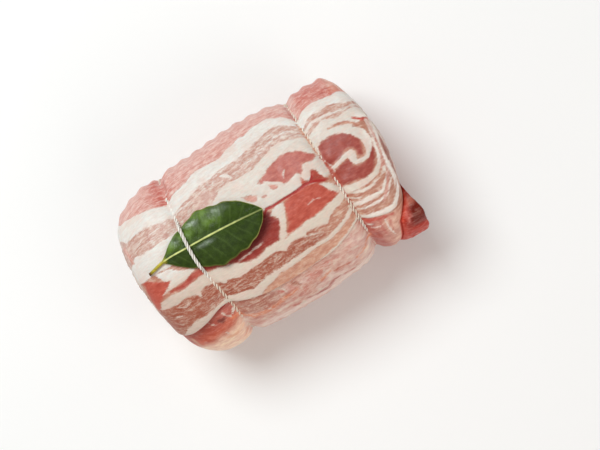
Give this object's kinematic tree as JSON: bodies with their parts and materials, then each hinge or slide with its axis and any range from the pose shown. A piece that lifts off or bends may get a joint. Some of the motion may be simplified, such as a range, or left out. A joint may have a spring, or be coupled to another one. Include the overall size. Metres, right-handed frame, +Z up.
{
  "type": "rolled pork roast",
  "caption": "Rolled raw pork roast: a lean core in a thick streaky belly slab, tied with twine over a bay leaf, lying on its flattened underside.",
  "frame": {"origin": "on the table under the middle of the whole object's box", "axes": "+X along the roast to the end where the core pokes out, +Y across it to the far side, +Z up"},
  "size_m": [0.1632, 0.1138, 0.0963],
  "materials": {
    "lean_core": "moist dark red raw lean meat",
    "belly_meat": "moist raw belly with streaks of white fat and pink lean",
    "flank_meat": "moist raw pink meat under a thin whitish film",
    "twine": "twisted cotton twine, part of it soaked",
    "leaf": "glossy dark green leaf with a pale midrib"
  },
  "bodies": {
    "root": {"pork_loin": "lean_core", "belly_slab": "belly_meat", "belly_flank": "flank_meat", "twine_left": "twine", "twine_right": "twine", "bay_leaf": "leaf"}
  },
  "joints": []
}
